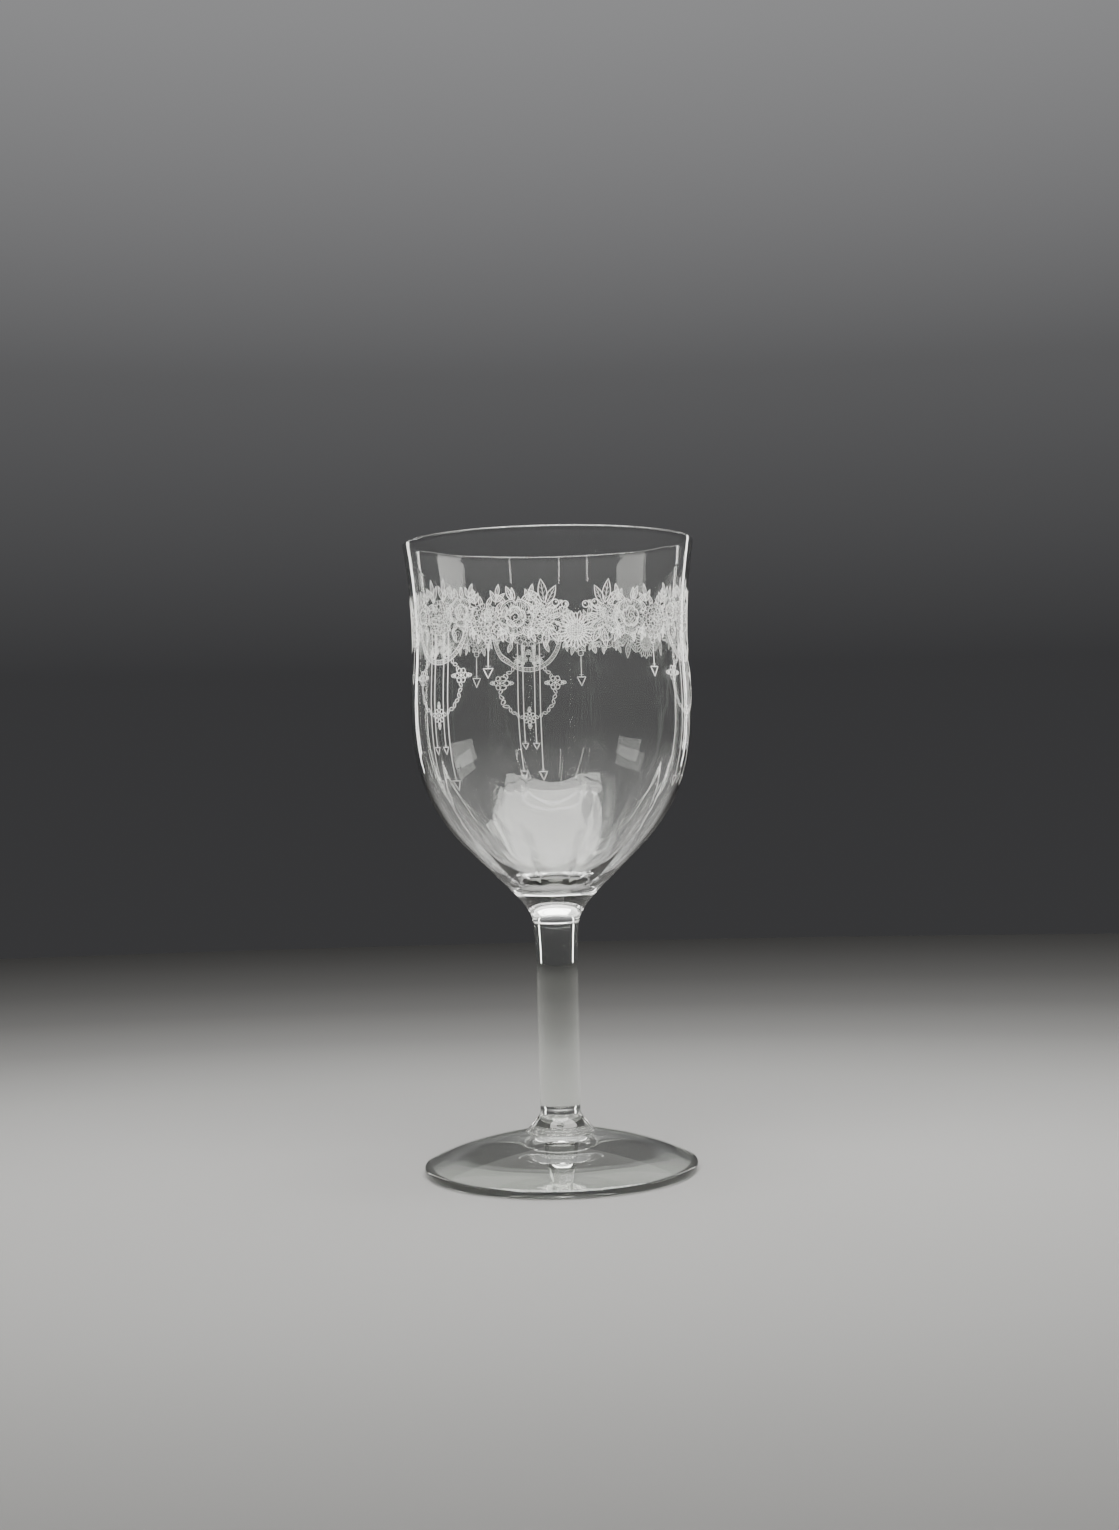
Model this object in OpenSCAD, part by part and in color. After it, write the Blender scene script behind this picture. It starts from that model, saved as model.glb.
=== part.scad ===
/* [Glass] */
// Height of the whole glass, table to rim
glass_h = 152; // [120:1:200]
// Outside width across the rim
rim_d = 70.4; // [66:0.2:76]
// Outside width at the waist under the rim
waist_d = 66.6; // [60:0.2:70]
// Outside width at the widest part of the belly
belly_d = 68; // [60:0.2:72]
// Wall thickness at the rim
rim_wall = 1; // [0.8:0.1:1.6]
// Wall thickness at the belly
belly_wall = 1.4; // [1.0:0.1:2.4]
// Wall thickness where the belly closes in to the base
base_wall = 2.2; // [1.6:0.1:3.0]
// Depth of solid glass between the stem and the inside of the bowl
base_depth = 10.2; // [8:0.1:14]

/* [Stem] */
// Width of the stem halfway down
stem_d = 10; // [8:0.2:12]
// Width of the stem where it is fused to the bowl
stem_top_d = 11.2; // [9.6:0.2:14]
// Height at which the stem is fused to the bowl
stem_top_z = 60; // [50:1:70]

/* [Collar] */
// Width of the collar's lowest ring
collar_d = 16.4; // [14:0.2:20]
// How much each ring of the collar stands out from the one above
ring_step = 0.5; // [0.2:0.1:0.8]
// Height of each ring of the collar
ring_h = 0.6; // [0.4:0.05:0.8]
// Height of the dome between the collar's rings and the stem
collar_dome_h = 2.9; // [2:0.1:4]

/* [Foot] */
// Width of the foot
foot_d = 66.2; // [56:0.2:76]
// Height of the foot's top face, where the collar stands
foot_h = 9.3; // [8:0.1:12]
// Thickness of the foot's edge
foot_edge = 2; // [1.6:0.1:2.4]
// Rise of the hollow under the middle of the foot
hollow_h = 4.6; // [2:0.1:4.8]

/* [Hidden] */

$fn = 96;
steps = 12;
glass_tint = [0.84, 0.88, 0.86, 0.45];
stem_tint = [0.78, 0.83, 0.81, 0.6];
collar_tint = [0.7, 0.77, 0.75, 0.7];
foot_tint = [0.8, 0.86, 0.83, 0.5];

// The bowl's heights, as shares of the span from the stem's top to the rim.
bowl_h = glass_h - stem_top_z;
waist_z = stem_top_z + 0.75 * bowl_h;
belly_z = stem_top_z + 0.565 * bowl_h;
cone_z = stem_top_z + 0.215 * bowl_h;
floor_z = stem_top_z + base_depth;

rim_r = rim_d / 2;
waist_r = waist_d / 2;
belly_r = belly_d / 2;
cone_r = 0.67 * belly_r;
stem_r = stem_d / 2;
stem_top_r = stem_top_d / 2;
waist_wall = (rim_wall + belly_wall) / 2;

// Where the inside of the cone starts: base_wall in from the outside, square to a 45 degree slope.
cone_in = base_wall * sin(45);
floor_r = cone_r - cone_in;
floor_top_z = cone_z + cone_in;

collar_r = collar_d / 2;
collar_rings = 3;
collar_rings_h = collar_rings * ring_h;
collar_top_z = foot_h + collar_rings_h + collar_dome_h;
ring_top_r = collar_r - (collar_rings - 1) * ring_step;
stem_end_r = stem_r - 0.1;

foot_r = foot_d / 2;
rest_out_r = foot_r - 0.9;
rest_in_r = rest_out_r - 1;

// Points along a cubic curve from a towards d, with handles b and c; d itself is left to what follows.
function curve(a, b, c, d) = [
    for (i = [0:steps - 1])
        let (t = i / steps, u = 1 - t)
        u * u * u * a + 3 * u * u * t * b + 3 * u * t * t * c + t * t * t * d
];

// The outside of the bowl, from just under the rim down to the stem.
function bowl_outside() = concat(
    curve([rim_r, glass_h - rim_wall / 2], [rim_r - 1.1, glass_h - 8], [waist_r, waist_z + 8], [waist_r, waist_z]),
    curve([waist_r, waist_z], [waist_r, waist_z - 5.5], [belly_r, belly_z + 6], [belly_r, belly_z]),
    curve([belly_r, belly_z], [belly_r, belly_z - 12.5], [cone_r + 9, cone_z + 10], [cone_r, cone_z]),
    curve([cone_r, cone_z], [cone_r - 10, cone_z - 10.2], [stem_top_r + 0.4, stem_top_z + 4.5],
        [stem_top_r, stem_top_z]),
    [[stem_top_r, stem_top_z]]
);

// The inside of the bowl, from just under the rim down to the middle of its floor.
function bowl_inside() =
    let (r0 = rim_r - rim_wall, r1 = waist_r - waist_wall, r2 = belly_r - belly_wall)
    concat(
        curve([r0, glass_h - rim_wall / 2], [r0 - 1.1, glass_h - 8], [r1, waist_z + 8], [r1, waist_z]),
        curve([r1, waist_z], [r1, waist_z - 5.5], [r2, belly_z + 6], [r2, belly_z]),
        curve([r2, belly_z], [r2, belly_z - 11.5], [floor_r + 8.7, floor_top_z + 9.6], [floor_r, floor_top_z]),
        curve([floor_r, floor_top_z], [floor_r - 7.5, floor_top_z - 8.2], [10.5, floor_z], [0, floor_z]),
        [[0, floor_z]]
    );

// The rounded lip, over the top of the wall from the inside to the outside.
function lip() = [
    for (i = [1:steps - 1])
        let (turn = 180 - 180 * i / steps)
        [rim_r - rim_wall / 2 + rim_wall / 2 * cos(turn), glass_h - rim_wall / 2 + rim_wall / 2 * sin(turn)]
];

function backwards(points) = [for (i = [len(points) - 1:-1:0]) points[i]];

// The blown bowl, with the solid glass under it that the stem is fused to.
module bowl() {
    color(glass_tint)
        rotate_extrude()
            polygon(concat(backwards(bowl_inside()), lip(), bowl_outside(), [[0, stem_top_z]]));
}

// The drawn stem, a solid rod that thickens a little under the bowl.
module stem() {
    color(stem_tint)
        rotate_extrude()
            polygon(concat(
                [[0, stem_top_z]],
                curve([stem_top_r, stem_top_z], [stem_top_r - 0.25, stem_top_z - 3],
                    [stem_r, stem_top_z - 7], [stem_r, stem_top_z - 14]),
                [[stem_r, stem_top_z - 14], [stem_end_r, collar_top_z], [0, collar_top_z]]
            ));
}

// One ring of the collar: a disc with a rounded edge.
module ring(r, z) {
    translate([0, 0, z])
        rotate_extrude()
            polygon(concat(
                [[0, 0]],
                [for (i = [0:6])
                    let (turn = -90 + 30 * i)
                    [r - ring_h / 2 + ring_h / 2 * cos(turn), ring_h / 2 + ring_h / 2 * sin(turn)]],
                [[0, ring_h]]
            ));
}

// The collar: three stepped rings with a dome on them that runs up to the stem.
module stem_collar() {
    dome_z = foot_h + collar_rings_h;
    color(collar_tint) {
        for (i = [0:collar_rings - 1])
            ring(collar_r - i * ring_step, foot_h + i * ring_h);
        rotate_extrude()
            polygon(concat(
                [[0, dome_z]],
                curve([ring_top_r - 0.15, dome_z], [ring_top_r - 0.9, dome_z + 0.9],
                    [stem_end_r + 0.3, collar_top_z - 1.1], [stem_end_r, collar_top_z]),
                [[stem_end_r, collar_top_z], [0, collar_top_z]]
            ));
    }
}

// The foot: a low domed disc with a rounded edge, hollowed underneath so that it rests on a flat ring.
module foot() {
    color(foot_tint)
        rotate_extrude()
            polygon(concat(
                [[0, hollow_h]],
                backwards(curve([rest_in_r, 0], [rest_in_r - 7.7, 0.78 * hollow_h], [17, hollow_h], [0.01, hollow_h])),
                curve([rest_out_r, 0], [foot_r - 0.4, 0], [foot_r, foot_edge * 0.3], [foot_r, foot_edge * 0.7]),
                curve([foot_r, foot_edge * 0.7], [foot_r, foot_edge * 0.95], [foot_r - 0.3, foot_edge + 0.1],
                    [foot_r - 0.9, foot_edge + 0.35]),
                curve([foot_r - 0.9, foot_edge + 0.35], [foot_r - 9, foot_edge + 4], [collar_r + 8, foot_h - 1.5],
                    [collar_r, foot_h]),
                [[collar_r, foot_h], [0, foot_h]]
            ));
}

bowl();
stem();
stem_collar();
foot();
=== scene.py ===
"""The looks of an etched wine glass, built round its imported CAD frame.

Metres, +Z up, and the glass stands on z = 0. The clear pieces (bowl, stem, collar and foot) are finely turned
meshes, each in the place of one CAD node. The etched ornament is drawn flat, in millimetres, by the functions
that start with draw_, and then wrapped round the bowl as thin raised frosted lines. It repeats three times,
and each repeat is its own mirror image.
"""

import random
from math import ceil, cos, hypot, pi, radians, sin, sqrt

import bmesh
import bpy
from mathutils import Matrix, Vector


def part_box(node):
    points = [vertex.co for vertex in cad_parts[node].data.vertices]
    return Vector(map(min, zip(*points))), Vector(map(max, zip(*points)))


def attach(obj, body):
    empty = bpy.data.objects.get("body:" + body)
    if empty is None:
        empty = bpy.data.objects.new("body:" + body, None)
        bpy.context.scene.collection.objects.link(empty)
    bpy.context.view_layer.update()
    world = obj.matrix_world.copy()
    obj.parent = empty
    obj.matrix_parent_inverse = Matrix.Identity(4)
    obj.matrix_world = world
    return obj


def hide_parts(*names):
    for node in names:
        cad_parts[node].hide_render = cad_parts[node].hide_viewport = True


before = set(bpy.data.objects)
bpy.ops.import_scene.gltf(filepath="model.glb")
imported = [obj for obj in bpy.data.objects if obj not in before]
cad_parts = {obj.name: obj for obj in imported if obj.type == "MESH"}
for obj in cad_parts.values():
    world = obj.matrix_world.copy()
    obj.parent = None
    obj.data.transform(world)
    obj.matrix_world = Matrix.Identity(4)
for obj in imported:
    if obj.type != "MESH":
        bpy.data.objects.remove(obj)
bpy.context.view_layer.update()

MM = 0.001
TINY = 1e-6
SEED = 7

# ---------------------------------------------------------------------------------------------------------
# Sizes, in millimetres, from the frame
# ---------------------------------------------------------------------------------------------------------


def top_of(node):
    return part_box(node)[1].z / MM


def radius_of(node):
    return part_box(node)[1].x / MM


GLASS_H = top_of("bowl")
RIM_R = radius_of("bowl")
STEM_TOP_Z = top_of("stem")
STEM_TOP_R = radius_of("stem")
COLLAR_TOP_Z = top_of("stem_collar")
COLLAR_R = radius_of("stem_collar")
FOOT_H = top_of("foot")
FOOT_R = radius_of("foot")

# The rest of the outline, as in the CAD.
BOWL_H = GLASS_H - STEM_TOP_Z
WAIST_Z = STEM_TOP_Z + 0.75 * BOWL_H
WAIST_R = 33.3
BELLY_Z = STEM_TOP_Z + 0.565 * BOWL_H
BELLY_R = 34.0
CONE_Z = STEM_TOP_Z + 0.215 * BOWL_H
CONE_R = 0.67 * BELLY_R
RIM_WALL = 1.0
BELLY_WALL = 1.4
WAIST_WALL = (RIM_WALL + BELLY_WALL) / 2
BASE_WALL = 2.2
BASE_DEPTH = 10.2
FLOOR_Z = STEM_TOP_Z + BASE_DEPTH
STEM_R = 5.0
STEM_END_R = STEM_R - 0.1
COLLAR_RINGS = 3
RING_STEP = 0.5
RING_H = 0.6
FOOT_EDGE = 2.0
HOLLOW_H = 4.6
REST_OUT_R = FOOT_R - 0.9
REST_IN_R = REST_OUT_R - 1.0

# Optic panels: shallow flutes down the inside of the bowl, which meet in soft ridges. They fade out near the
# lip and towards the middle of the floor, and get deeper from the belly down.
PANELS = 10
PANEL_TURN = radians(18)
PANEL_DEPTH_RIM = 0.06
PANEL_DEPTH_BASE = 0.7
PANEL_DEEPENING = 1.5
# The share of the depth that lies outside the plain wall, along the middle of a panel.
PANEL_OUTWARD = 0.35
PANEL_LIP_FADE = 6
PANEL_FLOOR_FADE_R = 12

# How finely the meshes are divided.
TURN_STEPS = 240
CURVE_STEPS = 26
LIP_STEPS = 12
RING_STEPS = 8
EDGE_STEPS = 8


# ---------------------------------------------------------------------------------------------------------
# The pieces of glass
# ---------------------------------------------------------------------------------------------------------


def curve(a, b, c, d, steps=CURVE_STEPS):
    """Points along a cubic curve from a towards d, without d."""
    points = []
    for i in range(steps):
        t = i / steps
        u = 1 - t
        weights = (u**3, 3 * u * u * t, 3 * u * t * t, t**3)
        points.append(tuple(sum(w * p[k] for w, p in zip(weights, (a, b, c, d))) for k in (0, 1)))
    return points


def add_object(name, verts, faces, materials):
    """A mesh object from vertices in millimetres."""
    mesh = bpy.data.meshes.new(name)
    mesh.from_pydata([(x * MM, y * MM, z * MM) for x, y, z in verts], [], faces)
    for material in materials:
        mesh.materials.append(material)
    obj = bpy.data.objects.new(name, mesh)
    bpy.context.scene.collection.objects.link(obj)
    return obj


def turned(name, profile, materials, fused=(), flute=None):
    """A closed solid of revolution. profile runs from the axis round to the axis. fused holds the heights of
    flat faces that are fused to the next piece; they get the second material. flute(i, turn) says how far
    profile point i moves outwards at that turn."""
    verts, rings = [], []
    for i, (r, z) in enumerate(profile):
        if r < TINY:
            rings.append([len(verts)])
            verts.append((0, 0, z))
            continue
        ring = []
        for k in range(TURN_STEPS):
            turn = 2 * pi * k / TURN_STEPS
            reach = r + (flute(i, turn) if flute else 0)
            ring.append(len(verts))
            verts.append((reach * sin(PANEL_TURN + turn), -reach * cos(PANEL_TURN + turn), z))
        rings.append(ring)
    faces, joined = [], []
    for i, (a, b) in enumerate(zip(rings, rings[1:])):
        z = profile[i][1]
        flat = z == profile[i + 1][1] and any(abs(z - height) < TINY for height in fused)
        for k in range(TURN_STEPS):
            n = (k + 1) % TURN_STEPS
            if len(a) == 1:
                face = (a[0], b[n], b[k])
            elif len(b) == 1:
                face = (a[k], a[n], b[0])
            else:
                face = (a[k], a[n], b[n], b[k])
            faces.append(face)
            joined.append(flat)
    obj = add_object(name, verts, faces, materials)
    bm = bmesh.new()
    bm.from_mesh(obj.data)
    bmesh.ops.recalc_face_normals(bm, faces=bm.faces)
    bm.to_mesh(obj.data)
    bm.free()
    for polygon, flat in zip(obj.data.polygons, joined):
        polygon.use_smooth = not flat
        polygon.material_index = 1 if flat else 0
    return obj


def bowl_outside():
    """The outside of the bowl, from just under the lip down to the stem."""
    rim = (RIM_R, GLASS_H - RIM_WALL / 2)
    waist = (WAIST_R, WAIST_Z)
    belly = (BELLY_R, BELLY_Z)
    cone = (CONE_R, CONE_Z)
    stem_top = (STEM_TOP_R, STEM_TOP_Z)
    return [
        *curve(rim, (RIM_R - 1.1, GLASS_H - 8), (WAIST_R, WAIST_Z + 8), waist),
        *curve(waist, (WAIST_R, WAIST_Z - 5.5), (BELLY_R, BELLY_Z + 6), belly),
        *curve(belly, (BELLY_R, BELLY_Z - 12.5), (CONE_R + 9, CONE_Z + 10), cone),
        *curve(cone, (CONE_R - 10, CONE_Z - 10.2), (STEM_TOP_R + 0.4, STEM_TOP_Z + 4.5), stem_top),
        stem_top,
    ]


OUTLINE = bowl_outside()


def bowl_inside():
    """The inside of the bowl, from just under the lip down to the middle of its floor."""
    rim_r = RIM_R - RIM_WALL
    waist_r = WAIST_R - WAIST_WALL
    belly_r = BELLY_R - BELLY_WALL
    # The wall is BASE_WALL thick here, measured square to the cone's 45 degree slope.
    cone_r = CONE_R - BASE_WALL * sin(pi / 4)
    cone_z = CONE_Z + BASE_WALL * sin(pi / 4)
    waist = (waist_r, WAIST_Z)
    belly = (belly_r, BELLY_Z)
    cone = (cone_r, cone_z)
    floor = (0, FLOOR_Z)
    return [
        *curve((rim_r, GLASS_H - RIM_WALL / 2), (rim_r - 1.1, GLASS_H - 8), (waist_r, WAIST_Z + 8), waist),
        *curve(waist, (waist_r, WAIST_Z - 5.5), (belly_r, BELLY_Z + 6), belly),
        *curve(belly, (belly_r, BELLY_Z - 11.5), (cone_r + 8.7, cone_z + 9.6), cone),
        *curve(cone, (cone_r - 7.5, cone_z - 8.2), (10.5, FLOOR_Z), floor),
        floor,
    ]


def make_bowl(materials):
    inside = bowl_inside()[::-1]
    half_wall = RIM_WALL / 2
    lip = []
    for i in range(1, LIP_STEPS):
        turn = pi - pi * i / LIP_STEPS
        lip.append((RIM_R - half_wall + half_wall * cos(turn), GLASS_H - half_wall + half_wall * sin(turn)))
    profile = [*inside, *lip, *OUTLINE, (0, STEM_TOP_Z)]

    def flute(i, turn):
        """How far the inner wall moves out for the optic panels, at profile point i."""
        if i >= len(inside):
            return 0
        r, z = inside[i]
        across = turn / (2 * pi) * PANELS % 1 * 2 - 1
        down = max(0.0, min(1.0, (BELLY_Z - z) / (BELLY_Z - FLOOR_Z)))
        depth = PANEL_DEPTH_RIM + (PANEL_DEPTH_BASE - PANEL_DEPTH_RIM) * down**PANEL_DEEPENING
        near_lip = min(1.0, (GLASS_H - z) / PANEL_LIP_FADE)
        near_floor = min(1.0, r / PANEL_FLOOR_FADE_R) ** 2
        return depth * near_lip * near_floor * (PANEL_OUTWARD - across * across)

    return turned("bowl_glass", profile, materials, fused=(STEM_TOP_Z,), flute=flute)


def make_stem(materials):
    top = (STEM_TOP_R, STEM_TOP_Z)
    rod = (STEM_R, STEM_TOP_Z - 14)
    end = (STEM_END_R, COLLAR_TOP_Z)
    profile = [
        (0, STEM_TOP_Z),
        *curve(top, (STEM_TOP_R - 0.25, STEM_TOP_Z - 3), (STEM_R, STEM_TOP_Z - 7), rod),
        *curve(rod, (STEM_R, STEM_TOP_Z - 24), (STEM_END_R, COLLAR_TOP_Z + 10), end),
        end,
        (0, COLLAR_TOP_Z),
    ]
    return turned("stem_glass", profile, materials, fused=(STEM_TOP_Z, COLLAR_TOP_Z))


def make_collar(materials):
    """Stepped rings with rounded edges, and a dome on them that runs up to the stem."""
    profile = [(0, FOOT_H)]
    for ring in range(COLLAR_RINGS):
        edge_r = COLLAR_R - ring * RING_STEP - RING_H / 2
        edge_z = FOOT_H + (ring + 0.5) * RING_H
        for i in range(RING_STEPS + 1):
            turn = -pi / 2 + pi * i / RING_STEPS
            profile.append((edge_r + RING_H / 2 * cos(turn), edge_z + RING_H / 2 * sin(turn)))
    dome_r = COLLAR_R - (COLLAR_RINGS - 1) * RING_STEP
    dome_z = FOOT_H + COLLAR_RINGS * RING_H
    end = (STEM_END_R, COLLAR_TOP_Z)
    profile += curve((dome_r - 0.15, dome_z), (dome_r - 0.9, dome_z + 0.9),
                     (STEM_END_R + 0.3, COLLAR_TOP_Z - 1.1), end)
    profile += [end, (0, COLLAR_TOP_Z)]
    return turned("collar_glass", profile, materials, fused=(FOOT_H, COLLAR_TOP_Z))


def make_foot(materials):
    """A low domed disc with a rounded edge, hollowed underneath so that it stands on a flat ring."""
    rest_in = (REST_IN_R, 0)
    rest_out = (REST_OUT_R, 0)
    edge = (FOOT_R, FOOT_EDGE * 0.7)
    shoulder = (FOOT_R - 0.9, FOOT_EDGE + 0.35)
    crown = (COLLAR_R, FOOT_H)
    profile = [
        (0, HOLLOW_H),
        *curve(rest_in, (REST_IN_R - 7.7, 0.78 * HOLLOW_H), (17, HOLLOW_H), (0, HOLLOW_H))[::-1],
        *curve(rest_out, (FOOT_R - 0.4, 0), (FOOT_R, FOOT_EDGE * 0.3), edge, EDGE_STEPS),
        *curve(edge, (FOOT_R, FOOT_EDGE * 0.95), (FOOT_R - 0.3, FOOT_EDGE + 0.1), shoulder, EDGE_STEPS),
        *curve(shoulder, (FOOT_R - 9, FOOT_EDGE + 4), (COLLAR_R + 8, FOOT_H - 1.5), crown),
        crown,
        # Where the collar's lowest ring, which has a rounded edge, starts to touch the foot.
        (COLLAR_R - RING_H / 2, FOOT_H),
        (0, FOOT_H),
    ]
    return turned("foot_glass", profile, materials, fused=(FOOT_H,))


# ---------------------------------------------------------------------------------------------------------
# The etched ornament, drawn flat in millimetres
#
# u runs round the bowl from the axis of a medallion and v is the height. Only the half from u = 0 to
# HALF_UNIT is drawn; it is mirrored, and the whole is repeated three times round the bowl.
# ---------------------------------------------------------------------------------------------------------

REPEATS = 3
WRAP_R = 33.5
HALF_UNIT = pi * WRAP_R / REPEATS
FIRST_AXIS = radians(-49.5)

# Widths of lines.
FINE = 0.11
LINK_LINE = 0.17
LINE = 0.19
BOLD = 0.26

# The furthest apart that points of a line are, where it is partly hidden and where it lies on the bowl.
HIDING_STEP = 0.3
WRAPPING_STEP = 1.2
# How far a line may pass the edges of the half that is drawn.
EDGE_SLACK = 0.01

# The etched lines reach from just inside the glass to just outside it, each a little differently, and an open
# line narrows at its ends.
ETCH_TOP = 0.02
ETCH_BOTTOM = -0.03
ETCH_UNEVENNESS = 0.004
END_TAPER = 0.55


def polar(u, v, r, turn):
    """The point that lies r from (u, v) in the direction turn."""
    return (u + r * cos(turn), v + r * sin(turn))


def spiral(u, v, r, swing, shares):
    """A curl out of (u, v). It reaches r, and has turned by swing, where its share is 1."""
    return [(u + r * t * cos(swing * t), v + r * t * sin(swing * t)) for t in shares]


def placed(points, u, v, turn):
    """Points drawn along +x, turned and moved to (u, v)."""
    c = cos(turn)
    s = sin(turn)
    return [(u + x * c - y * s, v + x * s + y * c) for x, y in points]


def evenly(points, step, closed=False):
    """The same line with more points, none further apart than step."""
    path = points + points[:1] if closed else points
    result = []
    for (u0, v0), (u1, v1) in zip(path, path[1:]):
        count = max(1, ceil(hypot(u1 - u0, v1 - v0) / step))
        result += [(u0 + (u1 - u0) * i / count, v0 + (v1 - v0) * i / count) for i in range(count)]
    return result if closed else result + [points[-1]]


class Drawing:
    """Strokes drawn from the front of the pattern to the back: later ones are hidden by the discs of
    earlier ones, so flowers lie over the leaves behind them."""

    def __init__(self, discs=()):
        self.strokes = []
        self.discs = list(discs)

    def cover(self, u, v, r):
        self.discs.append((u, v, r))

    def shown(self, point):
        u, v = point
        inside = -EDGE_SLACK <= u <= HALF_UNIT + EDGE_SLACK
        return inside and all(hypot(u - a, v - b) > r for a, b, r in self.discs)

    def line(self, points, width=LINE, closed=False):
        """Adds the runs of a line that nothing in front of it hides."""
        if all(self.shown(p) for p in points):
            self.strokes.append((points, width, closed))
            return
        dense = evenly(points, HIDING_STEP, closed)
        if closed:
            dense.append(dense[0])
        run = []
        for point in [*dense, None]:
            if point and self.shown(point):
                run.append(point)
                continue
            if len(run) > 1:
                self.strokes.append((run, width, False))
            run = []

    def ring(self, u, v, r, width=LINE, sides=12):
        self.line([polar(u, v, r, 2 * pi * k / sides) for k in range(sides)], width, closed=True)

    def dot(self, u, v, r):
        """A filled spot: a ring drawn with a line as wide as itself."""
        self.ring(u, v, r / 2, r, 8)

    def mirrored(self):
        """The strokes of the half with their mirror images."""
        images = [([(-u, v) for u, v in points], width, closed) for points, width, closed in self.strokes]
        return self.strokes + images


# Over 1, a petal or leaf is widest nearer to its tip, and under 1 nearer to its foot.
PETAL_SHAPE = 1.5
LEAF_SHAPE = 0.85


def pointed_outline(start, length, width, shape, steps):
    """A closed outline along +x, pointed at both ends."""
    side = []
    for i in range(steps + 1):
        side.append((start + length * i / steps, width / 2 * sin(pi * (i / steps) ** shape)))
    return side + [(x, -y) for x, y in side[-2:0:-1]]


def draw_petal(drawing, u, v, turn, near, far, width, line=FINE, rib=True):
    """A petal that points away from (u, v) and lies between near and far from it."""
    length = far - near
    outline = pointed_outline(near, length, width, PETAL_SHAPE, 6)
    drawing.line(placed(outline, u, v, turn), line, closed=True)
    if rib:
        drawing.line(placed([(near + 0.2 * length, 0), (near + 0.72 * length, 0)], u, v, turn), line)


def draw_leaf(drawing, u, v, turn, length, width, veins=3):
    """A pointed leaf from its foot at (u, v), with a midrib and side veins."""
    outline = pointed_outline(0, length, width, LEAF_SHAPE, 8)
    drawing.line(placed(outline, u, v, turn), LINE, closed=True)
    drawing.line(placed([(0, 0), (0.85 * length, 0)], u, v, turn), FINE)
    for k in range(veins):
        x = length * (0.16 + 0.6 * k / veins)
        for y in (-0.3 * width, 0.3 * width):
            drawing.line(placed([(x, 0), (x + 0.14 * length, y)], u, v, turn), FINE)


# The mum's rows of petals: where they start and end as shares of its radius, and how many there are.
MUM_ROWS = ((0.12, 0.42, 6), (0.36, 0.72, 10), (0.62, 1.0, 15))


def draw_mum(drawing, u, v, r, rng):
    """A double flower: three rows of narrow petals round a button."""
    drawing.dot(u, v, 0.09 * r)
    for row, (near, far, count) in enumerate(MUM_ROWS):
        width = 2 * pi * far * r / count * 0.82
        for k in range(count):
            turn = 2 * pi * (k + 0.5 * row) / count + rng.uniform(-0.07, 0.07)
            reach = far * r * rng.uniform(0.93, 1.05)
            draw_petal(drawing, u, v, turn, near * r, reach, width, rib=row > 0)
        drawing.cover(u, v, far * r * 0.9)


def draw_cupped_petal(drawing, u, v, reach, middle, spread):
    """A wide petal with a double edge that dips in its middle and falls back at its sides, and hatching."""
    for inset, line in ((1.0, LINE), (0.9, FINE)):
        edge = []
        for i in range(11):
            t = i / 5 - 1
            far = reach * inset * (1 - 0.3 * t**4 - 0.06 * (1 - t * t))
            edge.append(polar(u, v, far, middle + spread * t))
        drawing.line(edge, line)
    for t in (-0.75, -0.45, -0.15, 0.15, 0.45, 0.75):
        turn = middle + spread * t
        drawing.line([polar(u, v, 0.62 * reach, turn), polar(u, v, 0.86 * reach, turn)], FINE)


def draw_rose(drawing, u, v, r, rng):
    """An open rose: a curled heart, five cupped petals and five wider ones behind them."""
    heart = 0.3 * r
    drawing.line(spiral(u, v, heart, 11, [0.1 + 0.9 * i / 16 for i in range(17)]), FINE)
    drawing.cover(u, v, heart)
    petals = 5
    spread = pi / petals * 1.06
    for row, share in enumerate((0.58, 1.0)):
        reach = share * r
        for k in range(petals):
            middle = 2 * pi * (k + 0.5 * row) / petals + 0.3 + rng.uniform(-0.06, 0.06)
            draw_cupped_petal(drawing, u, v, reach, middle, spread)
        drawing.cover(u, v, reach * 0.88)


def draw_daisy(drawing, u, v, r):
    """A daisy with a cross-hatched disc and narrow petals, long and short by turns."""
    disc = 0.36 * r
    drawing.ring(u, v, disc, LINE, 24)
    for k in range(-3, 4):
        x = k * disc / 4
        y = sqrt(disc * disc - x * x) * 0.92
        drawing.line([(u + x, v - y), (u + x, v + y)], FINE)
        drawing.line([(u - y, v + x), (u + y, v + x)], FINE)
    drawing.cover(u, v, disc * 1.02)
    petals = 26
    for k in range(petals):
        turn = 2 * pi * (k + 0.5) / petals
        far = r * (1.0 if k % 2 else 0.9)
        draw_petal(drawing, u, v, turn, disc * 1.08, far, 0.2 * r, LINE, rib=False)
    drawing.cover(u, v, r * 0.94)


def draw_floret(drawing, u, v, r, petals, turn=pi / 2, line=FINE):
    """A small flower of round petals."""
    width = 5.2 * r / petals * 0.8
    drawing.dot(u, v, 0.2 * r)
    for k in range(petals):
        draw_petal(drawing, u, v, turn + 2 * pi * k / petals, 0.28 * r, r, width, line, rib=False)


def draw_berry(drawing, u, v, foot_u, foot_v, r=0.75):
    """A round berry with a spot of shine, on a slightly bent stalk from its foot."""
    drawing.ring(u, v, r, LINE, 12)
    drawing.dot(u + 0.15, v + 0.2, 0.2)
    reach = hypot(foot_u - u, foot_v - v)
    start = (u + (foot_u - u) * r / reach, v + (foot_v - v) * r / reach)
    bend = ((start[0] + foot_u) / 2 + 0.3, (start[1] + foot_v) / 2)
    drawing.line([start, bend, (foot_u, foot_v)], LINE)
    drawing.cover(u, v, r + 0.1)


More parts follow.
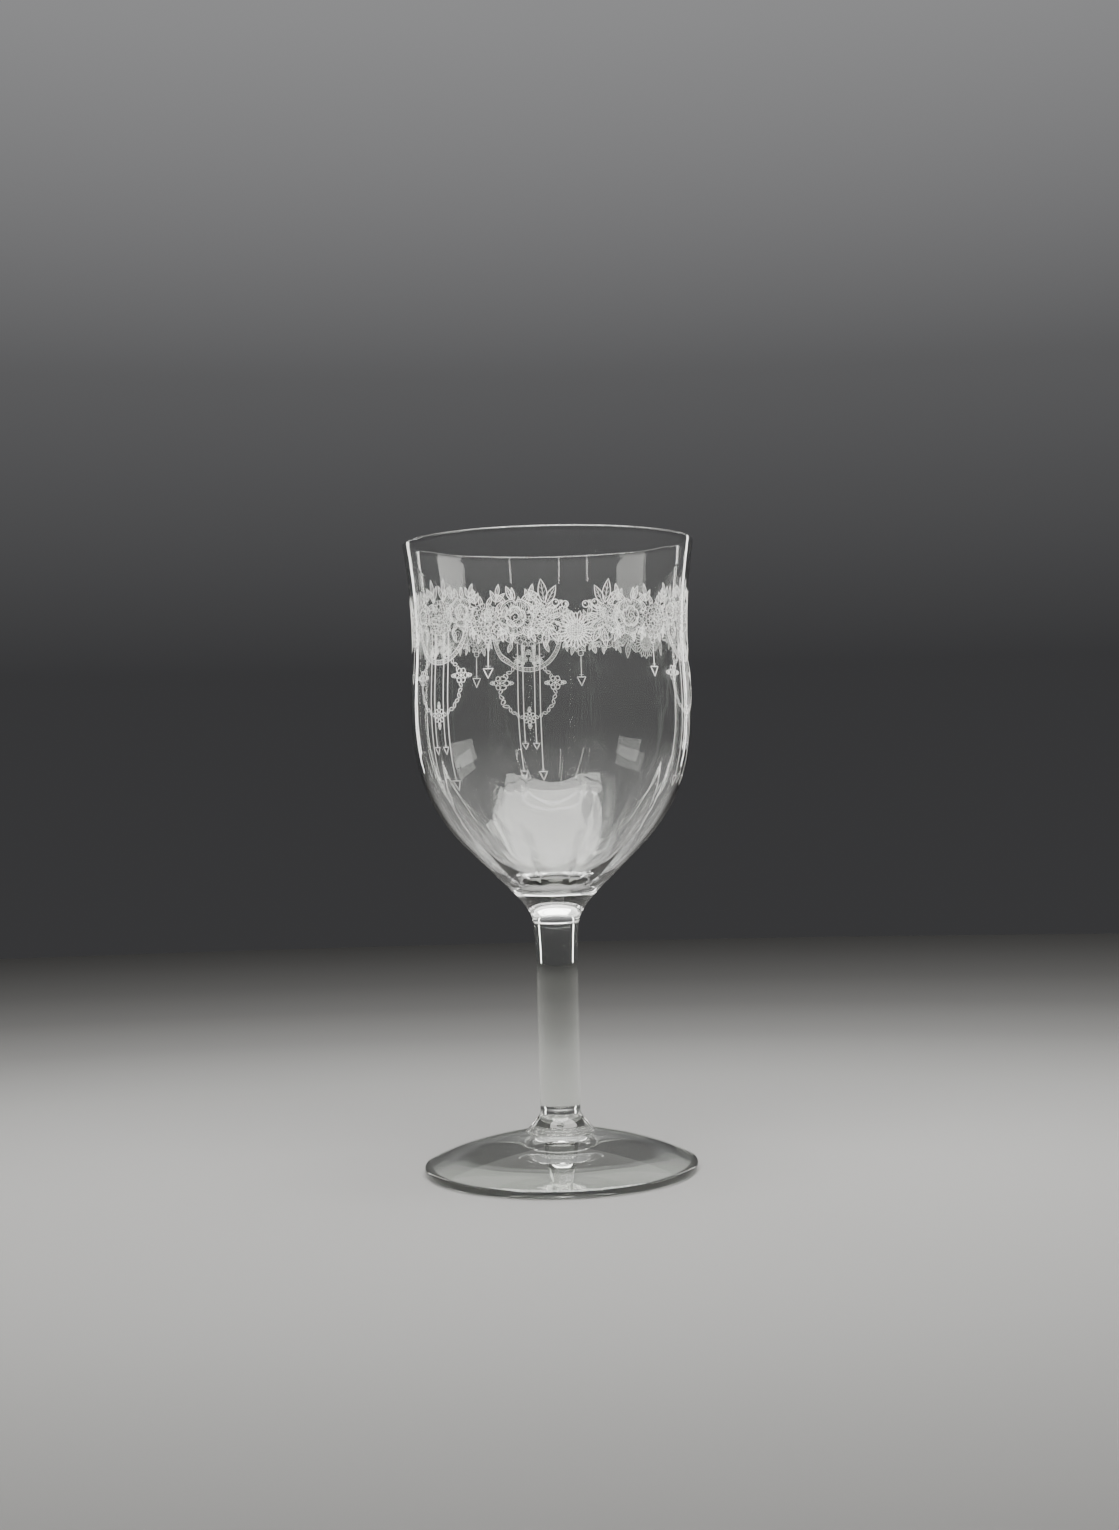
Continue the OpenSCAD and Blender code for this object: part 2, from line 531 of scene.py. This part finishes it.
def draw_bud(drawing, u, v, turn, length):
    """A closed bud with two sepals, from its foot at (u, v)."""
    draw_petal(drawing, u, v, turn, 0.15 * length, length, 0.42 * length, LINE)
    for lean in (-0.6, 0.6):
        draw_petal(drawing, u, v, turn + lean, 0, 0.6 * length, 0.2 * length, FINE, rib=False)


def draw_sprig(drawing, u, v, turn, length, rng):
    """A twig with a long leaf at its tip and one to each side."""
    drawing.line(placed([(0, 0), (length * 0.4, 0)], u, v, turn), LINE)
    for share, lean in ((0.36, 0.0), (0.12, rng.uniform(0.5, 0.7)), (0.12, rng.uniform(-0.7, -0.5))):
        foot_u, foot_v = placed([(length * share, 0)], u, v, turn)[0]
        draw_leaf(drawing, foot_u, foot_v, turn + lean, length * 0.64, length * 0.2, veins=0)


def draw_arrow(drawing, u, top, tip, size):
    """A hanging line with a barred arrowhead."""
    shoulder = tip + size
    half = 0.55 * size
    bar_half = 0.3 * size
    bar_v = shoulder + 0.25 * size
    drawing.line([(u, top), (u, shoulder)], BOLD)
    drawing.line([(u - half, shoulder), (u + half, shoulder), (u, tip)], BOLD, closed=True)
    drawing.line([(u - bar_half, bar_v), (u + bar_half, bar_v)], FINE)


# Flowers of the garland's half: kind, u, v, radius.
GARLAND_FLOWERS = (
    ("mum", 0.0, 132.6, 4.3),
    ("rose", 7.4, 133.4, 3.5),
    ("mum", 13.9, 131.2, 3.9),
    ("rose", 21.3, 131.6, 4.4),
    ("mum", 27.3, 131.4, 2.9),
)
# Twigs that rise out of the garland or hang from it: u, v, direction in degrees, length.
GARLAND_SPRIGS = (
    (1.6, 136.0, 82, 5.6),
    (5.0, 136.2, 102, 3.6),
    (9.4, 136.2, 66, 3.8),
    (11.6, 134.6, 100, 4.0),
    (16.6, 134.6, 78, 4.6),
    (24.4, 134.6, 76, 4.4),
    (17.6, 129.4, -78, 3.4),
    (10.4, 130.2, -82, 3.4),
    (24.6, 129.2, -70, 3.6),
)
# Large leaves, in the same terms.
GARLAND_LEAVES = (
    (28.0, 134.6, 98, 5.4),
    (28.4, 134.2, 62, 4.8),
    (27.4, 134.4, 132, 4.4),
    (28.6, 133.6, 22, 3.8),
    (29.2, 129.0, -60, 3.8),
    (28.4, 128.6, -96, 4.2),
    (30.4, 130.2, -24, 3.2),
    (20.6, 135.4, 112, 3.4),
    (4.6, 129.6, -68, 3.0),
    (1.4, 129.0, -84, 2.6),
    (12.6, 128.4, -104, 2.6),
    (20.4, 128.2, -88, 2.4),
)
BERRIES = ((30.5, 134.6), (32.7, 134.2))
BERRY_FOOT = (29.6, 132.4)
DAISY_V = 128.4
DAISY_R = 4.4
# The small leaves behind each flower: how many to a millimetre of its radius, how far out they start as a
# share of that radius, and how long the ones that point down are against the others.
RING_LEAVES = 2.6
RING_LEAF_START = 0.8
RING_LEAF_LOW = 0.6


def draw_garland(rng):
    """The band of flowers and leaves under the rim, from a medallion's axis to the daisy between two."""
    drawing = Drawing()
    draw_daisy(drawing, HALF_UNIT, DAISY_V, DAISY_R)
    flowers = {"mum": draw_mum, "rose": draw_rose}
    for kind, u, v, r in GARLAND_FLOWERS:
        flowers[kind](drawing, u, v, r, rng)
    for u, v in BERRIES:
        draw_berry(drawing, u, v, *BERRY_FOOT)
    for u, v, turn, length in GARLAND_LEAVES:
        draw_leaf(drawing, u, v, radians(turn), length, 0.36 * length)
    for u, v, turn, length in GARLAND_SPRIGS:
        draw_sprig(drawing, u, v, radians(turn), length, rng)
    for _, u, v, r in GARLAND_FLOWERS:
        count = round(RING_LEAVES * r)
        for k in range(count):
            turn = 2 * pi * (k + rng.uniform(-0.25, 0.25)) / count
            foot_u, foot_v = placed([(RING_LEAF_START * r, 0)], u, v, turn)[0]
            length = rng.uniform(2.4, 3.6) * (RING_LEAF_LOW if sin(turn) < -0.3 else 1)
            draw_leaf(drawing, foot_u, foot_v, turn + rng.uniform(-0.4, 0.4), length, 1.0, veins=1)
    return drawing


# The medallion's beaded swag: an arc round (0, SWAG_V), as two lines with beads between them.
SWAG_R = 8.7
SWAG_V = 131.0
SWAG_HALF_WIDTH = 0.5
SWAG_BEADS = 17
BEAD_R = 0.24
# The spray in it: florets, a row of leaves round a middle one, each turned and moved on by the same number,
# and a curled tendril.
SPRAY_FLORETS = ((0, 126.9), (1.35, 126.3), (2.5, 125.3), (0.95, 125.0), (3.4, 124.4))
SPRAY_FLORET_R = 0.75
SPRAY_LEAVES = (1.8, 124.2)
SPRAY_FAN = 0.7
TENDRIL = (3.6, 126.1)
TENDRIL_R = 0.9
# The wreath: an oval of links, which runs from beside its lowest flower up past its side flower.
WREATH_V = 117.0
WREATH_R = (7.2, 7.0)
WREATH_START = -pi / 2 + 0.28
WREATH_END = 0.9
LINKS = 13
LINK_R = (0.6, 0.36)
LINK_SIDES = 10
LINK_LEAN = 0.7
# The wreath's flowers, and the length of their buds, which start as far out from the flower's middle.
BOTTOM_FLOWER = (0, WREATH_V - WREATH_R[1])
BOTTOM_FLOWER_R = 1.9
BOTTOM_BUD = 1.6
SIDE_FLOWER = (WREATH_R[0] + 0.1, WREATH_V + 2)
SIDE_FLOWER_R = 1.8
SIDE_BUD = 1.5
FLOWER_COVER = 1.5
# The hanging lines: u, height of the tip, size of the arrowhead.
HANGING_TOP = 129.5
HANGING_LINES = ((1.6, 101.0, 1.7), (3.1, 92.6, 2.3))


def draw_wreath_flowers(drawing):
    """The wreath's lowest flower and its side flower, with a bud on two sides of each."""
    bottom_u, bottom_v = BOTTOM_FLOWER
    side_u, side_v = SIDE_FLOWER
    draw_floret(drawing, bottom_u, bottom_v, BOTTOM_FLOWER_R, 8, 0, LINE)
    draw_floret(drawing, side_u, side_v, SIDE_FLOWER_R, 6, 0, LINE)
    for u, v in (BOTTOM_FLOWER, SIDE_FLOWER):
        drawing.cover(u, v, FLOWER_COVER)
    for way in (1, -1):
        draw_bud(drawing, bottom_u, bottom_v + way * BOTTOM_BUD, way * pi / 2, BOTTOM_BUD)
    for turn in (0, pi):
        draw_bud(drawing, side_u + SIDE_BUD * cos(turn), side_v, turn, SIDE_BUD)


def draw_swag(drawing):
    """Two quarter arcs, one inside the other, with beads between them."""
    steps = 20
    for r in (SWAG_R - SWAG_HALF_WIDTH, SWAG_R + SWAG_HALF_WIDTH):
        turns = [pi / 2 * i / steps for i in range(steps + 1)]
        drawing.line([(r * sin(turn), SWAG_V - r * cos(turn)) for turn in turns], LINE)
    for k in range(SWAG_BEADS):
        turn = pi / 2 * (k + 0.5) / SWAG_BEADS
        drawing.ring(SWAG_R * sin(turn), SWAG_V - SWAG_R * cos(turn), BEAD_R, FINE, 8)


def draw_spray(drawing):
    """Small five-petalled flowers, three leaves in a row and a tendril."""
    for u, v in SPRAY_FLORETS:
        draw_floret(drawing, u, v, SPRAY_FLORET_R, 5)
    leaf_u, leaf_v = SPRAY_LEAVES
    for k in (-1, 0, 1):
        draw_leaf(drawing, leaf_u + SPRAY_FAN * k, leaf_v, SPRAY_FAN * k, 1.5, 0.6, veins=1)
    drawing.line(spiral(*TENDRIL, TENDRIL_R, 6, [0.15 + i / 14 for i in range(13)]), FINE)


def draw_wreath_links(drawing):
    """Oval links, which lean to one side and the other by turns."""
    angles = [2 * pi * i / LINK_SIDES for i in range(LINK_SIDES)]
    link = [(LINK_R[0] * cos(angle), LINK_R[1] * sin(angle)) for angle in angles]
    for k in range(LINKS):
        turn = WREATH_START + (WREATH_END - WREATH_START) * k / (LINKS - 1)
        u = WREATH_R[0] * cos(turn)
        v = WREATH_V + WREATH_R[1] * sin(turn)
        lean = LINK_LEAN if k % 2 else -LINK_LEAN
        drawing.line(placed(link, u, v, turn + pi / 2 + lean), LINK_LINE, closed=True)


def draw_medallion(garland):
    """A beaded swag with a spray in it, a wreath of links with three flowers, and four hanging lines."""
    drawing = Drawing(garland.discs)
    draw_wreath_flowers(drawing)
    draw_swag(drawing)
    draw_spray(drawing)
    draw_wreath_links(drawing)
    for u, tip, size in HANGING_LINES:
        draw_arrow(drawing, u, HANGING_TOP, tip, size)
    return drawing


# The short pendant beside a medallion, and the half outline of the bell cap that it hangs from.
PENDANT_U = 14.6
PENDANT_TOP = 127.0
PENDANT_TIP = 118.0
PENDANT_HEAD = 2.2
CAP = ((0.5, 0), (0.75, -0.8), (0.5, -1.3))
CAP_BAND = 0.7


def draw_arrows(garland):
    """The short pendant beside the medallion, with a bell cap."""
    drawing = Drawing(garland.discs)
    left = [(-x, y) for x, y in CAP]
    drawing.line(placed([left[0], *CAP, *left[:0:-1]], PENDANT_U, PENDANT_TOP, 0), LINE, closed=True)
    band_v = PENDANT_TOP - CAP_BAND
    drawing.line([(PENDANT_U - 0.6, band_v), (PENDANT_U + 0.6, band_v)], FINE)
    draw_arrow(drawing, PENDANT_U, PENDANT_TOP + CAP[-1][1], PENDANT_TIP, PENDANT_HEAD)
    return drawing


def bowl_radius(z):
    """The bowl's outside radius at height z, in millimetres."""
    for (r0, z0), (r1, z1) in zip(OUTLINE, OUTLINE[1:]):
        if z1 <= z <= z0:
            return r0 + (r1 - r0) * (z0 - z) / (z0 - z1)
    return RIM_R


def ribbon_section(before, point, after, half_width, axis, lift):
    """The four corners of a ribbon's section at a point of its line, on the bowl."""
    along = (after[0] - before[0], after[1] - before[1])
    share = half_width / (hypot(*along) or 1)
    side_u = -along[1] * share
    side_v = along[0] * share
    corners = []
    for side, height in ((-1, ETCH_TOP), (1, ETCH_TOP), (1, ETCH_BOTTOM), (-1, ETCH_BOTTOM)):
        turn = axis + (point[0] + side * side_u) / WRAP_R
        z = point[1] + side * side_v
        r = bowl_radius(z) + height + lift
        corners.append((r * sin(turn), -r * cos(turn), z))
    return corners


def make_etching(name, strokes, axis, material, rng):
    """Strokes wrapped round the bowl as closed ribbons, sunk into the glass with their tops just proud."""
    verts, faces = [], []
    for line, width, closed in strokes:
        points = evenly(line, WRAPPING_STEP, closed)
        count = len(points)
        first = len(verts)
        lift = rng.uniform(-ETCH_UNEVENNESS, ETCH_UNEVENNESS)
        for i, point in enumerate(points):
            start = not closed and i == 0
            end = not closed and i == count - 1
            before = point if start else points[i - 1]
            after = point if end else points[(i + 1) % count]
            half_width = width / 2 * (END_TAPER if start or end else 1)
            verts += ribbon_section(before, point, after, half_width, axis, lift)
        for i in range(count if closed else count - 1):
            a = first + 4 * i
            b = first + 4 * ((i + 1) % count)
            for k in range(4):
                n = (k + 1) % 4
                faces.append((a + k, b + k, b + n, a + n))
        if not closed:
            last = len(verts) - 4
            faces.append((first, first + 1, first + 2, first + 3))
            faces.append((last + 3, last + 2, last + 1, last))
    return add_object(name, verts, faces, [material])


# ---------------------------------------------------------------------------------------------------------
# Materials
# ---------------------------------------------------------------------------------------------------------

# The share of light that the worn, dusty surface lets through; the rest is scattered as a faint white veil.
CLARITY = 0.99
GLASS_IOR = 1.5
# The three glasses: the tints between which the waves vary, and the waves' scale and height.
BOWL_GLASS = ((0.985, 0.992, 0.985), (0.97, 0.982, 0.97), 90.0, 0.00004)
STEM_GLASS = ((0.925, 0.945, 0.915), (0.89, 0.915, 0.875), 120.0, 0.00006)
FOOT_GLASS = ((0.945, 0.965, 0.935), (0.915, 0.945, 0.9), 70.0, 0.00008)

# The values of a noise between which a surface runs from one look to the other.
NOISE_LOW = 0.35
NOISE_HIGH = 0.65

# The wear haze, and the values of its noise between which it comes up.
WEAR_ROUGHNESS = 0.012
WEAR_SCALE = 900.0
WEAR_LOW = 0.5
WEAR_HIGH = 0.75

# The etch: a fine grain and a coarser cloud. Each runs between two whites, and the two are multiplied.
ETCH_GRAIN_SCALE = 3500.0
ETCH_GRAIN_DEPTH = 0.00002
ETCH_GRAIN = ((0.84, 0.85, 0.83), (1.0, 1.0, 0.99))
ETCH_CLOUD_SCALE = 300.0
ETCH_CLOUD = ((0.9, 0.9, 0.89), (1.0, 1.0, 1.0))
ETCH_ROUGHNESS = (0.45, 0.7)


def new_material(name):
    material = bpy.data.materials.new(name)
    material.use_nodes = True
    tree = material.node_tree
    tree.nodes.clear()
    output = tree.nodes.new("ShaderNodeOutputMaterial")
    return material, tree, output


def noise(tree, scale, detail):
    place = tree.nodes.new("ShaderNodeTexCoord")
    texture = tree.nodes.new("ShaderNodeTexNoise")
    texture.inputs["Scale"].default_value = scale
    texture.inputs["Detail"].default_value = detail
    tree.links.new(place.outputs["Object"], texture.inputs["Vector"])
    return texture.outputs["Fac"]


def colour_stops(tree, source, stops):
    """A colour that runs through the stops, each a value of source and the colour there."""
    node = tree.nodes.new("ShaderNodeValToRGB")
    elements = node.color_ramp.elements
    for element, (position, colour) in zip(elements, (stops[0], stops[-1])):
        element.position = position
        element.color = (*colour, 1)
    for position, colour in stops[1:-1]:
        elements.new(position).color = (*colour, 1)
    tree.links.new(source, node.inputs["Fac"])
    return node.outputs["Color"]


def ramp(tree, source, low, high):
    """A colour that runs from low to high as the noise runs through its middle values."""
    return colour_stops(tree, source, ((NOISE_LOW, low), (NOISE_HIGH, high)))


def number_ramp(tree, source, low, high, start, end):
    """A number that runs from low to high as source runs from start to end."""
    node = tree.nodes.new("ShaderNodeMapRange")
    node.inputs["From Min"].default_value = start
    node.inputs["From Max"].default_value = end
    node.inputs["To Min"].default_value = low
    node.inputs["To Max"].default_value = high
    tree.links.new(source, node.inputs["Value"])
    return node.outputs["Result"]


def bump(tree, height, distance):
    node = tree.nodes.new("ShaderNodeBump")
    node.inputs["Distance"].default_value = distance
    node.inputs["Strength"].default_value = 1.0
    tree.links.new(height, node.inputs["Height"])
    return node.outputs["Normal"]


def glass_material(name, thin_tint, thick_tint, wave_scale, wave_height):
    """Fire-polished clear glass: slow waves from the hot working, faint tint, a trace of wear haze."""
    material, tree, output = new_material(name)
    shader = tree.nodes.new("ShaderNodeBsdfPrincipled")
    shader.inputs["Transmission Weight"].default_value = CLARITY
    shader.inputs["IOR"].default_value = GLASS_IOR
    waves = noise(tree, wave_scale, 1.0)
    wear = noise(tree, WEAR_SCALE, 4.0)
    tree.links.new(ramp(tree, waves, thick_tint, thin_tint), shader.inputs["Base Color"])
    roughness = number_ramp(tree, wear, 0.0, WEAR_ROUGHNESS, WEAR_LOW, WEAR_HIGH)
    tree.links.new(roughness, shader.inputs["Roughness"])
    tree.links.new(bump(tree, waves, wave_height), shader.inputs["Normal"])
    tree.links.new(shader.outputs["BSDF"], output.inputs["Surface"])
    return material


def fused_material():
    """Where two pieces are fused there is no surface left to see, so light goes straight through."""
    material, tree, output = new_material("fused_joint")
    shader = tree.nodes.new("ShaderNodeBsdfTransparent")
    tree.links.new(shader.outputs["BSDF"], output.inputs["Surface"])
    return material


def etched_material():
    """Acid-etched lines: matt white, uneven at the scale of the grain of the etch."""
    material, tree, output = new_material("etched_frost")
    shader = tree.nodes.new("ShaderNodeBsdfPrincipled")
    grain = noise(tree, ETCH_GRAIN_SCALE, 2.0)
    cloud = noise(tree, ETCH_CLOUD_SCALE, 2.0)
    mix = tree.nodes.new("ShaderNodeMix")
    mix.data_type = "RGBA"
    mix.blend_type = "MULTIPLY"
    mix.inputs["Factor"].default_value = 1.0
    tree.links.new(ramp(tree, grain, *ETCH_GRAIN), mix.inputs["A"])
    tree.links.new(ramp(tree, cloud, *ETCH_CLOUD), mix.inputs["B"])
    tree.links.new(mix.outputs["Result"], shader.inputs["Base Color"])
    roughness = number_ramp(tree, grain, *ETCH_ROUGHNESS, NOISE_LOW, NOISE_HIGH)
    tree.links.new(roughness, shader.inputs["Roughness"])
    tree.links.new(bump(tree, grain, ETCH_GRAIN_DEPTH), shader.inputs["Normal"])
    tree.links.new(shader.outputs["BSDF"], output.inputs["Surface"])
    return material


# ---------------------------------------------------------------------------------------------------------
# Stage
# ---------------------------------------------------------------------------------------------------------

# The floor is a disc, stretched sideways so that its painted shade comes sooner behind the glass than beside
# it.
FLOOR_R = 0.7
FLOOR_SIDES = 128
FLOOR_STRETCH = (1.5, 0.85)
FLOOR_BELOW_GLASS = 0.00002
FLOOR_GREY = 0.15
# The floor's grey as a share of FLOOR_GREY, against the distance from the glass before the stretch. This is
# painted light: a pool of light round the glass that falls off into painted shade towards the edge.
FLOOR_PAINTED_FALLOFF = (
    (0.05, 1.0),
    (0.16, 0.74),
    (0.27, 0.43),
    (0.37, 0.27),
    (0.48, 0.185),
    (0.6, 0.135),
    (0.69, 0.105),
)
# The backdrop's colour against the sine of the angle above eye level.
BACKDROP = (
    (0.05, (0.045, 0.045, 0.047)),
    (0.2, (0.11, 0.11, 0.113)),
    (0.36, (0.27, 0.27, 0.275)),
    (0.65, (0.5, 0.5, 0.5)),
    (1.0, (0.8, 0.8, 0.8)),
)

LAMP_COLOUR = (1.0, 0.985, 0.95)
LAMP_TARGET = (0, 0, 0.1)
# The overhead lamp points straight down. It makes the bright lobe in the bottom of the bowl.
OVERHEAD_PLACE = (0.12, 0, 0.9)
OVERHEAD_TARGET = (0.12, 0, 0.1)
OVERHEAD_SIZE = (1.15, 0.8)
OVERHEAD_WATTS = 36
# The lamps that face the glass: name, place, width and height, watts. The front one lights the etching, the
# back ones the edges of the bowl and of the stem, and the windows make the pale patches on the bowl.
LAMPS = (
    ("front_top", (0, -0.45, 0.8), (1.1, 0.25), 16),
    ("back_left", (-0.5, 0.66, 0.25), (0.04, 0.6), 0.8),
    ("back_right", (0.5, 0.66, 0.25), (0.04, 0.6), 0.8),
    ("back_high", (0, 0.75, 0.75), (1.3, 0.35), 0.6),
    ("left_window", (-0.86, -0.17, 0.39), (0.5, 0.17), 0.8),
    ("right_window", (0.88, 0.1, 0.37), (0.5, 0.17), 1.1),
)
# Thin upright strips in front, which make the bright lines under the rim: name, degrees to the right.
STRIPS = (("left", -36), ("middle", -10), ("right", 36))
STRIP_DISTANCE = 0.75
STRIP_Z = 0.6
STRIP_SIZE = (0.014, 0.35)
STRIP_WATTS = 0.3

CAMERA_PLACE = (0.00167, -0.463, 0.098)
CAMERA_ROLL = radians(1.31)
CAMERA_LENS = 44.92
CAMERA_SENSOR = 36


def floor_material():
    """A plain pale table top with painted shade: its colour darkens softly towards its far edge, as a painted
    falloff of the light round the glass.
    """
    material, tree, output = new_material("pale_floor_painted_falloff")
    shader = tree.nodes.new("ShaderNodeBsdfPrincipled")
    shader.inputs["Roughness"].default_value = 0.8
    shader.inputs["Specular IOR Level"].default_value = 0.0
    place = tree.nodes.new("ShaderNodeTexCoord")
    distance = tree.nodes.new("ShaderNodeVectorMath")
    distance.operation = "LENGTH"
    tree.links.new(place.outputs["Object"], distance.inputs[0])
    # Painted shade: the floor's colour falls off with distance from the glass, in place of the light's own
    # falloff.
    stops = [(position, (share * FLOOR_GREY,) * 3) for position, share in FLOOR_PAINTED_FALLOFF]
    tree.links.new(colour_stops(tree, distance.outputs["Value"], stops), shader.inputs["Base Color"])
    tree.links.new(shader.outputs["BSDF"], output.inputs["Surface"])
    return material


def make_floor():
    verts = [(0, 0, 0)]
    for k in range(FLOOR_SIDES):
        turn = 2 * pi * k / FLOOR_SIDES
        verts.append((FLOOR_R / MM * cos(turn), FLOOR_R / MM * sin(turn), 0))
    faces = [(0, 1 + k, 1 + (k + 1) % FLOOR_SIDES) for k in range(FLOOR_SIDES)]
    floor = add_object("floor", verts, faces, [floor_material()])
    floor.scale = (*FLOOR_STRETCH, 1)
    floor.location.z = -FLOOR_BELOW_GLASS


def make_world():
    """A plain backdrop all round: dark at eye level, grey higher up."""
    world = bpy.data.worlds.new("studio")
    world.use_nodes = True
    tree = world.node_tree
    background = tree.nodes["Background"]
    place = tree.nodes.new("ShaderNodeTexCoord")
    split = tree.nodes.new("ShaderNodeSeparateXYZ")
    tree.links.new(place.outputs["Generated"], split.inputs["Vector"])
    tree.links.new(colour_stops(tree, split.outputs["Z"], BACKDROP), background.inputs["Color"])
    background.inputs["Strength"].default_value = 1.0
    bpy.context.scene.world = world


def add_light(name, place, target, size, watts):
    """A soft rectangular lamp at place, facing target."""
    data = bpy.data.lights.new(name, "AREA")
    data.shape = "RECTANGLE"
    data.size, data.size_y = size
    data.energy = watts
    data.color = LAMP_COLOUR
    lamp = bpy.data.objects.new(name, data)
    lamp.location = place
    lamp.rotation_euler = (Vector(target) - Vector(place)).to_track_quat("-Z", "Y").to_euler()
    lamp.visible_camera = False
    bpy.context.scene.collection.objects.link(lamp)


def make_lights():
    add_light("overhead", OVERHEAD_PLACE, OVERHEAD_TARGET, OVERHEAD_SIZE, OVERHEAD_WATTS)
    for name, place, size, watts in LAMPS:
        add_light(name, place, LAMP_TARGET, size, watts)
    for name, turn in STRIPS:
        place = (STRIP_DISTANCE * sin(radians(turn)), -STRIP_DISTANCE * cos(radians(turn)), STRIP_Z)
        add_light(f"front_strip_{name}", place, LAMP_TARGET, STRIP_SIZE, STRIP_WATTS)


def make_camera():
    """Level, a little below the middle of the bowl, and rolled so that the glass leans to the left."""
    data = bpy.data.cameras.new("camera")
    data.sensor_width = CAMERA_SENSOR
    data.lens = CAMERA_LENS
    camera = bpy.data.objects.new("camera", data)
    camera.location = CAMERA_PLACE
    camera.rotation_mode = "XYZ"
    camera.rotation_euler = (pi / 2, CAMERA_ROLL, 0)
    bpy.context.scene.collection.objects.link(camera)
    bpy.context.scene.camera = camera


# ---------------------------------------------------------------------------------------------------------
# Putting it together
# ---------------------------------------------------------------------------------------------------------


def take_place(piece, node):
    """Puts a piece of glass in the place of a CAD node."""
    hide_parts(node)
    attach(piece, "root")


def add_etchings():
    """The ornament three times round the bowl, each repeat as three pieces."""
    rng = random.Random(SEED)
    frost = etched_material()
    garland = draw_garland(rng)
    parts = (("garland", garland), ("medallion", draw_medallion(garland)), ("arrows", draw_arrows(garland)))
    for repeat in range(REPEATS):
        axis = FIRST_AXIS + 2 * pi * repeat / REPEATS
        for part, drawing in parts:
            piece = make_etching(f"etched_{part}_{repeat + 1}", drawing.mirrored(), axis, frost, rng)
            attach(piece, "root")


make_camera()
make_world()
make_lights()
make_floor()

joint = fused_material()
bowl_mat = glass_material("bowl_glass", *BOWL_GLASS)
stem_mat = glass_material("stem_glass", *STEM_GLASS)
foot_mat = glass_material("foot_glass", *FOOT_GLASS)

take_place(make_bowl([bowl_mat, joint]), "bowl")
take_place(make_stem([stem_mat, joint]), "stem")
take_place(make_collar([stem_mat, joint]), "stem_collar")
take_place(make_foot([foot_mat, joint]), "foot")
add_etchings()
